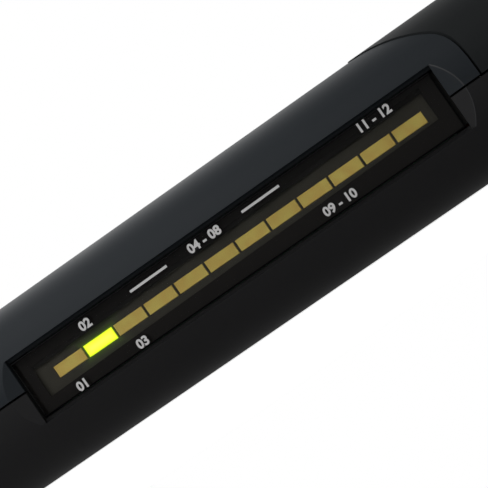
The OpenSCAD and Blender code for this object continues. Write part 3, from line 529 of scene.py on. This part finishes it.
PRINT_HEIGHT, UPPER_ROW, LOWER_ROW = 1.4, 3.05, -3.4
PRINT_TILT, PRINT_PIVOT, INK_RISE = math.radians(0.59), -17, 0.02
LINE_LENGTH, LINE_WIDTH, LINE_THICK = 6.1, 0.34, 0.03
lens_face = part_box("display_lens")[0].y / MM
numbers = bmesh.new()
for text, x, z in (("01", -27.5, LOWER_ROW), ("02", -22.5, UPPER_ROW), ("03", -17.4, LOWER_ROW),
                   ("04 - 08", -2.6, UPPER_ROW), ("09 - 10", 15.0, LOWER_ROW), ("11 - 12", 24.9, UPPER_ROW)):
    lettering = bpy.data.curves.new("number", "FONT")
    lettering.body = text
    lettering.align_x = "CENTER"
    lettering.align_y = "CENTER"
    lettering.offset = 0.035
    lettering.extrude = 0.01
    lettering.resolution_u = 4
    stencil = bpy.data.objects.new("number", lettering)
    scene.collection.objects.link(stencil)
    letters = bpy.data.meshes.new_from_object(stencil)
    highest = max(vert.co.y for vert in letters.vertices)
    lowest = min(vert.co.y for vert in letters.vertices)
    before = len(numbers.verts)
    numbers.from_mesh(letters)
    numbers.verts.ensure_lookup_table()
    fresh = numbers.verts[before:]
    bmesh.ops.translate(numbers, vec=(0, -(highest + lowest) / 2, 0), verts=fresh)
    bmesh.ops.scale(numbers, vec=Vector((1, 1, 1)) * PRINT_HEIGHT * MM / (highest - lowest), verts=fresh)
    bmesh.ops.rotate(numbers, matrix=Matrix.Rotation(math.pi / 2, 3, "X"), verts=fresh)
    bmesh.ops.translate(numbers, vec=at(x, lens_face - INK_RISE, z), verts=fresh)
    bpy.data.objects.remove(stencil)
for x in (-11.83, 6.65):
    line = bmesh.ops.create_cube(numbers, size=MM)["verts"]
    bmesh.ops.scale(numbers, vec=(LINE_LENGTH, LINE_THICK, LINE_WIDTH), verts=line)
    bmesh.ops.translate(numbers, vec=at(x, lens_face - INK_RISE, UPPER_ROW), verts=line)
bmesh.ops.remove_doubles(numbers, verts=numbers.verts[:], dist=0.0005 * MM)
bmesh.ops.rotate(numbers, cent=at(PRINT_PIVOT, 0, 0), matrix=Matrix.Rotation(-PRINT_TILT, 3, "Y"),
                 verts=numbers.verts[:])
white_ink = plastic("white_ink", (0.38, 0.375, 0.375), 0.6, 0.2, mottle=0.2, grain=4000.0)
piece(numbers, "window_numbers", "handle", "lens", white_ink)

# Probe: a copper pin slides in a steel barrel, pushed out by a spring that rests on the socket behind it.
# The pin and barrel are turned, and the spring is wound from steel wire.
# Two insulated leads join the socket to the main board.
turned_steel = metal("turned_steel", (0.6, 0.61, 0.63), 0.24, RINGS)
copper_pin = metal("copper_pin", (0.72, 0.36, 0.2), 0.28, RINGS)
spring_steel = metal("spring_steel", (0.55, 0.55, 0.57), 0.3, ALL_WAYS)
ROUND_SIDES, STEPS_PER_TURN, WIRE_SIDES, LEAD_R = 72, 28, 10, 0.5


def turned(profile, y=0.0, closed=True):
    """A turned body about a line along the handle, from pairs of distance and radius in millimetres."""
    shape = bmesh.new()
    line = [shape.verts.new(AXIS + Vector((x, y, radius)) * MM) for x, radius in profile]
    pairs = list(zip(line, line[1:])) + ([(line[-1], line[0])] if closed else [])
    edges = [shape.edges.new(pair) for pair in pairs]
    bmesh.ops.spin(shape, geom=line + edges, cent=AXIS + Vector((0, y, 0)) * MM, axis=(1, 0, 0),
                   angle=2 * math.pi, steps=ROUND_SIDES, use_merge=True, use_duplicate=False)
    bmesh.ops.remove_doubles(shape, verts=shape.verts[:], dist=0.001 * MM)
    bmesh.ops.recalc_face_normals(shape, faces=shape.faces[:])
    return shape


def wound(start, length, first_radius, last_radius, turns, wire, y=0.0):
    """A coil of round wire about a line along the handle, straight or conical."""
    shape = bmesh.new()
    steps = turns * STEPS_PER_TURN
    ring = bmesh.ops.create_circle(shape, segments=WIRE_SIDES, radius=wire / 2 * MM)["verts"]
    bmesh.ops.rotate(shape, matrix=Matrix.Rotation(math.pi / 2, 3, "X"), verts=ring)
    bmesh.ops.translate(shape, vec=AXIS + Vector((start, y, 1)) * MM, verts=ring)
    centre = AXIS + Vector((start, y, 0)) * MM
    bmesh.ops.spin(shape, geom=ring + shape.edges[:], cent=centre, axis=(1, 0, 0), angle=2 * math.pi * turns,
                   steps=steps, dvec=(length * MM / steps, 0, 0), use_duplicate=False)
    for vert in shape.verts:
        along = vert.co.x - centre.x
        spread = first_radius + (last_radius - first_radius) * min(max(along / (length * MM), 0), 1) - 1
        out = Vector((0, vert.co.y - centre.y, vert.co.z - centre.z)).normalized()
        vert.co += out * spread * MM
    bmesh.ops.holes_fill(shape, edges=[edge for edge in shape.edges if edge.is_boundary], sides=0)
    bmesh.ops.recalc_face_normals(shape, faces=shape.faces[:])
    return shape


def leads(routes, name, node, material):
    """Insulated wires bent along their routes, from points in millimetres about the handle's axis."""
    data = bpy.data.curves.new(name, "CURVE")
    data.dimensions = "3D"
    data.bevel_depth = LEAD_R * MM
    data.bevel_resolution = 4
    data.use_fill_caps = True
    for route in routes:
        spline = data.splines.new("POLY")
        spline.points.add(len(route) - 1)
        for point, bend in zip(spline.points, route):
            point.co = (*(AXIS + Vector(bend) * MM), 1)
    former = bpy.data.objects.new(name, data)
    scene.collection.objects.link(former)
    shape = bmesh.new()
    shape.from_mesh(bpy.data.meshes.new_from_object(former))
    bpy.data.objects.remove(former)
    bmesh.ops.remove_doubles(shape, verts=shape.verts[:], dist=0.001 * MM)
    bmesh.ops.recalc_face_normals(shape, faces=shape.faces[:])
    item = piece(shape, name, "handle", "leads", material, crease=50)
    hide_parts(node)


dress("probe_socket", plastic("socket_nylon", (0.5, 0.48, 0.43), 0.5, 0.4))
shape = turned([(-97.7, 0), (-97.6, 0.22), (-97.3, 0.4), (-95.7, 0.65), (-86.85, 0.65), (-86.85, 2.2),
                (-86.64, 2.41), (-84.06, 2.41), (-83.85, 2.2), (-83.85, 0)], closed=False)
pin = piece(shape, "sprung_pin", "probe", "pin", copper_pin)
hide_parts("probe_pin")

SPRING_FROM, SPRING_TO, SOCKET_FACE = -83.55, -76.3, -76.0
SPRING_R, SPRING_TURNS, SPRING_WIRE = 1.9, 5, 0.5
shape = wound(SPRING_FROM, SPRING_TO - SPRING_FROM, SPRING_R, SPRING_R, SPRING_TURNS, SPRING_WIRE)
coil = piece(shape, "pin_spring", "handle", "spring_wire", spring_steel, crease=60)
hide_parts("probe_spring")
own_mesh(coil)

shape = turned([(-94.5, 0.72), (-94.5, 1.25), (-94.15, 1.6), (-87.2, 1.6), (-87.0, 1.4), (-87.0, 0.72)])
barrel = piece(shape, "steel_barrel", "handle", "barrel", turned_steel)
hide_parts("probe_barrel")
red_sleeve = plastic("lead_sleeve", (0.35, 0.03, 0.02), 0.4, 0.4)
leads([[(-66.8, y, 0), (-53.4, y, 0), (-52.6, y, -0.25), (-52.15, y, -0.8), (-52.0, y, -1.6),
        (-52.0, y, -5.75)] for y in (-1.2, 1.2)], "probe_wires", "probe_leads", red_sleeve)

# Nose: a cone of black plastic holds the barrel, and a bright turned collar covers the end of the shells.
# A cap of clear polystyrene, moulded in one piece, goes over the cone and pulls straight off.
dress("nose_cone", plastic("satin_black_cone", (0.013, 0.013, 0.014), 0.42, 0.12))
COLLAR_R, COLLAR_BORE, GROOVE_R = 7.2, 4.05, 7.06
shape = turned([
    (-76.5, COLLAR_BORE), (-76.5, 6.95), (-76.42, 7.1), (-76.25, COLLAR_R), (-75.65, COLLAR_R),
    (-75.55, GROOVE_R), (-75.45, COLLAR_R), (-75.05, COLLAR_R), (-74.95, GROOVE_R), (-74.85, COLLAR_R),
    (-74.25, COLLAR_R), (-74.08, 7.1), (-74.0, 6.95), (-74.0, COLLAR_BORE)])
bright_collar = metal("bright_collar", (0.58, 0.58, 0.6), 0.16, RINGS)
collar = piece(shape, "turned_collar", "handle", "collar", bright_collar)
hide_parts("nose_collar")

CAP_R, CAP_BORE, CAP_WALL = 7.2, 6.08, 1.4
CAP_END, CAP_MOUTH, CAP_LIP = -101.0, -76.8, 0.2
CAP_ROUND, ROUND_STEPS = 3.0, 8
inner_round = CAP_ROUND - CAP_R + CAP_BORE
quarter_turn = [math.radians(90 * step / ROUND_STEPS) for step in range(ROUND_STEPS + 1)]
outside = [(CAP_END + CAP_ROUND * (1 - math.sin(angle)), CAP_R - CAP_ROUND * (1 - math.cos(angle)))
           for angle in quarter_turn]
mouth = [(CAP_MOUTH - CAP_LIP, CAP_R), (CAP_MOUTH, CAP_R - CAP_LIP), (CAP_MOUTH, CAP_BORE + CAP_LIP),
         (CAP_MOUTH - CAP_LIP, CAP_BORE)]
inside = [(CAP_END + CAP_WALL + inner_round * (1 - math.sin(angle)),
           CAP_BORE - inner_round * (1 - math.cos(angle))) for angle in quarter_turn]
shape = turned([(CAP_END, 0)] + outside[::-1] + mouth + inside + [(CAP_END + CAP_WALL, 0)], closed=False)
clear_cap = plastic("clear_polystyrene", (0.93, 0.95, 0.96), 0.06, 0.5, mottle=0.05, grain=250.0, bump=0.004,
                    Transmission_Weight=1.0, IOR=1.49)
cap = piece(shape, "clear_cap", "cap", "cap", clear_cap)
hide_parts("protective_cap")

# Battery bay: a tray of black plastic holds two cells side by side, head to tail, between sprung contacts.
# The contacts are nickel-plated strip and wire, and two leads run from them to the main board.
# The cells are steel cans in a blue sleeve, with only their plus and minus marks.
CELL_Y, CELL_R = 5.25, 5.15
CELL_FROM, CELL_TO = 40.45, 84.95
FRONT_CONE, REAR_CONE, CONE_LENGTH = 38.33, 85.23, 1.84
CONE_WIDE, CONE_NARROW, CONE_TURNS, CONE_WIRE = 3.6, 2.16, 2, 0.5
nickel = metal("nickel_plate", (0.66, 0.64, 0.6), 0.25, ALL_WAYS)
dress("battery_tray", plastic("tray_black", (0.02, 0.02, 0.021), 0.5, 0.3))
dress("contact_plates", nickel)
coils = wound(FRONT_CONE, CONE_LENGTH, CONE_WIDE, CONE_NARROW, CONE_TURNS, CONE_WIRE, y=-CELL_Y)
rear_coil = bpy.data.meshes.new("rear_coil")
shape = wound(REAR_CONE, CONE_LENGTH, CONE_NARROW, CONE_WIDE, CONE_TURNS, CONE_WIRE, y=CELL_Y)
shape.to_mesh(rear_coil)
shape.free()
coils.from_mesh(rear_coil)
bpy.data.meshes.remove(rear_coil)
contact_coils = piece(coils, "contact_coils", "handle", "contact", nickel, crease=60)
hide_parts("contact_springs")

can_steel = metal("can_steel", (0.62, 0.62, 0.63), 0.22, ALL_WAYS)
sleeve = plastic("cell_sleeve", (0.05, 0.09, 0.16), 0.3, 0.5, mottle=0.15)
white_mark = plastic("sleeve_mark", (0.75, 0.75, 0.75), 0.4, 0.4)
CAN, SLEEVE, MARK = range(3)
SLEEVE_FROM_R = 4.9
MARK_FROM_END, MARK_LONG, MARK_WIDE, MARK_THICK, MARK_SUNK = 4.5, 1.8, 0.5, 0.2, 0.06
PLUS = ((MARK_LONG, MARK_WIDE), (MARK_WIDE, MARK_LONG))
MINUS = ((MARK_WIDE, MARK_LONG),)
cell_middle = (CELL_FROM + CELL_TO) / 2
half_cell = (CELL_TO - CELL_FROM) / 2
nub_end = [(half_cell, 0), (half_cell, 1.7), (half_cell - 0.2, 1.9), (half_cell - 1.0, 1.9),
           (half_cell - 1.05, 3.6), (half_cell - 1.0, 4.6), (half_cell - 1.2, 4.95),
           (half_cell - 1.5, CELL_R)]
flat_end = [(0.7 - half_cell, CELL_R), (0.3 - half_cell, 4.95), (0.2 - half_cell, 4.4),
            (0.1 - half_cell, 3.2), (-half_cell, 3.0), (-half_cell, 0)]
for node, name, y, to_nub in (("cell_right", "front_cell", -CELL_Y, 1),
                              ("cell_left", "rear_cell", CELL_Y, -1)):
    profile = [(cell_middle + to_nub * x, radius) for x, radius in nub_end + flat_end]
    shape = turned(profile, y=y, closed=False)
    for face in shape.faces:
        radial = face.calc_center_median() - AXIS - Vector((0, y, 0)) * MM
        face.material_index = SLEEVE if math.hypot(radial.y, radial.z) > SLEEVE_FROM_R * MM else CAN
    for along, strokes in ((half_cell - MARK_FROM_END, PLUS), (MARK_FROM_END - half_cell, MINUS)):
        for long, wide in strokes:
            mark = bmesh.ops.create_cube(shape, size=MM)["verts"]
            bmesh.ops.scale(shape, vec=(long, wide, MARK_THICK), verts=mark)
            bmesh.ops.translate(shape, verts=mark, vec=AXIS + Vector((
                cell_middle + to_nub * along, y, CELL_R - MARK_SUNK)) * MM)
            for face in {face for vert in mark for face in vert.link_faces}:
                face.material_index = MARK
    cell = piece(shape, name, "handle", "cell", can_steel, sleeve, white_mark)
    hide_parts(node)
leads([[(37.6, y, -2.88), (36.0, y, -2.88), (35.5, y, -3.05), (35.1, y, -3.45), (33.75, y, -5.15)]
       for y in (-CELL_Y, CELL_Y)], "cell_wires", "battery_leads", red_sleeve)

# Upper half of the handle: the same black plastic, given a lighter, bluer colour than the lower half as
# painted cool light from above, with the window's frame and the button's opening in it.
# The window's ends slope down to the lens, and its long sides are straight.
# The cover's tongue ends in this half, and two screws from below hold it to the lower one.
# Painted light: this half's colour is lighter and bluer than the lower half's, standing in for cool light
# from above.
shell_half("upper_shell", "upper_half", "shell_upper", (0.0102, 0.012, 0.0139), 0.035)

# Finger plates: two thin plates of brushed steel, let into the sides of the nose for finger and thumb.
# They are pressed to the curve of the handle and close the earth of the probe through the hand.
PLATE_ROUND, PLATE_DEPTH = 0.12, 0.5
shape = solid_copy("finger_plates")
rounded(shape, PLATE_ROUND, 2, outer_edge(PLATE_DEPTH))
brushed_steel = metal("brushed_steel", (0.33, 0.33, 0.34), 0.3, ALONG)
plates = piece(shape, "touch_plates", "handle", "finger_plate", brushed_steel)
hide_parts("finger_plates")

# Power button: an oblong cap of grey plastic, a little proud of the top, with a power sign printed in white.
# It rests on the stem of the press switch, and a rim inside keeps it in the shell.
BUTTON_X, BUTTON_TOP, BUTTON_ROUND, ROUND_ABOVE = -42.0, 12.7, 0.2, 11
dress("switch_stem", plastic("stem_white", (0.6, 0.6, 0.58), 0.45, 0.4))
shape = solid_copy("power_button")
rounded(shape, BUTTON_ROUND, 3,
        lambda edge: min(vert.co.z for vert in edge.verts) > AXIS.z + ROUND_ABOVE * MM)
button_grey = plastic("button_grey", (0.05, 0.051, 0.054), 0.5, 0.3)
button = piece(shape, "push_button", "button", "button", button_grey)
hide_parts("power_button")

SIGN_R, SIGN_WIDTH, SIGN_THICK, SIGN_SUNK = 1.5, 0.36, 0.05, 0.03
SIGN_FROM, SIGN_SWEEP = math.radians(35), math.radians(290)
STROKE_LENGTH, STROKE_X = 1.7, 1.15
sign = bmesh.new()
arc_start = Matrix.Rotation(SIGN_FROM, 3, "Z") @ Vector((1, 0, 0))
arc_end = [sign.verts.new(arc_start * (SIGN_R + aside) * MM) for aside in (-SIGN_WIDTH / 2, SIGN_WIDTH / 2)]
arc_edge = sign.edges.new(arc_end)
bmesh.ops.spin(sign, geom=arc_end + [arc_edge], cent=(0, 0, 0), axis=(0, 0, 1), angle=SIGN_SWEEP,
               steps=40, use_duplicate=False)
stroke = bmesh.ops.create_grid(sign, x_segments=6, y_segments=2, size=0.5 * MM)["verts"]
bmesh.ops.scale(sign, vec=(STROKE_LENGTH, SIGN_WIDTH, 1), verts=stroke)
bmesh.ops.translate(sign, vec=(STROKE_X * MM, 0, 0), verts=stroke)
bmesh.ops.recalc_face_normals(sign, faces=sign.faces[:])
raised = bmesh.ops.extrude_face_region(sign, geom=sign.faces[:])["geom"]
raised_verts = [item for item in raised if isinstance(item, bmesh.types.BMVert)]
bmesh.ops.translate(sign, vec=(0, 0, SIGN_THICK * MM), verts=raised_verts)
for vert in sign.verts:
    fall = BUTTON_TOP - math.sqrt(BUTTON_TOP ** 2 - (vert.co.y / MM) ** 2)
    vert.co += AXIS + Vector((BUTTON_X, 0, BUTTON_TOP - fall - SIGN_SUNK)) * MM
bmesh.ops.recalc_face_normals(sign, faces=sign.faces[:])
piece(sign, "power_sign", "button", "button", white_ink)

# Case screws: two steel screws driven from below hold the halves together.
# They are blackened, and their heads sit in counterbores of the lower half.
dress("case_screws", metal("black_screw", (0.12, 0.12, 0.125), 0.35, ALL_WAYS))

# Battery cover: the upper part of the tail, with a pointed tongue that ends at the window.
# It is moulded in the same plastic, given a darker colour as painted shade, stands a hair proud of the
# handle, and has grip ribs across its back.
# It slides off backwards.
COVER_ROUND, COVER_DEPTH, COVER_R = 0.3, 0.2, 12.51
# Painted shade: the cover's black is darker than the shells', standing in for the light falling off towards
# the tail.
cover_satin_painted_shade = plastic("satin_black_cover_painted_shade", (0.008, 0.0088, 0.0092), 0.48, 0.028)
shape = solid_copy("battery_cover")
rounded(shape, COVER_ROUND, 3, outer_edge(COVER_DEPTH))
cover = piece(shape, "tail_cover", "cover", "cover", cover_satin_painted_shade)
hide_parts("battery_cover")

RIBS, RIB_FROM, RIB_STEP, RIB_SWEEP = 7, 66.0, 2.2, math.radians(38.0)
RIB_PROFILE = ((-0.5, -0.25), (-0.45, 0.0), (-0.25, 0.22), (0.0, 0.3), (0.25, 0.22), (0.45, 0.0),
               (0.5, -0.25))
ribs = bmesh.new()
for index in range(RIBS):
    outline = []
    for along, rise in RIB_PROFILE:
        out = Matrix.Rotation(RIB_SWEEP, 3, "X") @ Vector((0, 0, COVER_R + rise))
        back = Vector((RIB_FROM + index * RIB_STEP + along, 0, 0))
        outline.append(ribs.verts.new(AXIS + (back + out) * MM))
    sides = [ribs.edges.new(pair) for pair in zip(outline, outline[1:] + outline[:1])]
    bmesh.ops.spin(ribs, geom=outline + sides, cent=AXIS, axis=(1, 0, 0), angle=-2 * RIB_SWEEP,
                   steps=32, use_duplicate=False)
bmesh.ops.holes_fill(ribs, edges=[edge for edge in ribs.edges if edge.is_boundary], sides=0)
bmesh.ops.recalc_face_normals(ribs, faces=ribs.faces[:])
piece(ribs, "grip_ribs", "cover", "cover", cover_satin_painted_shade)
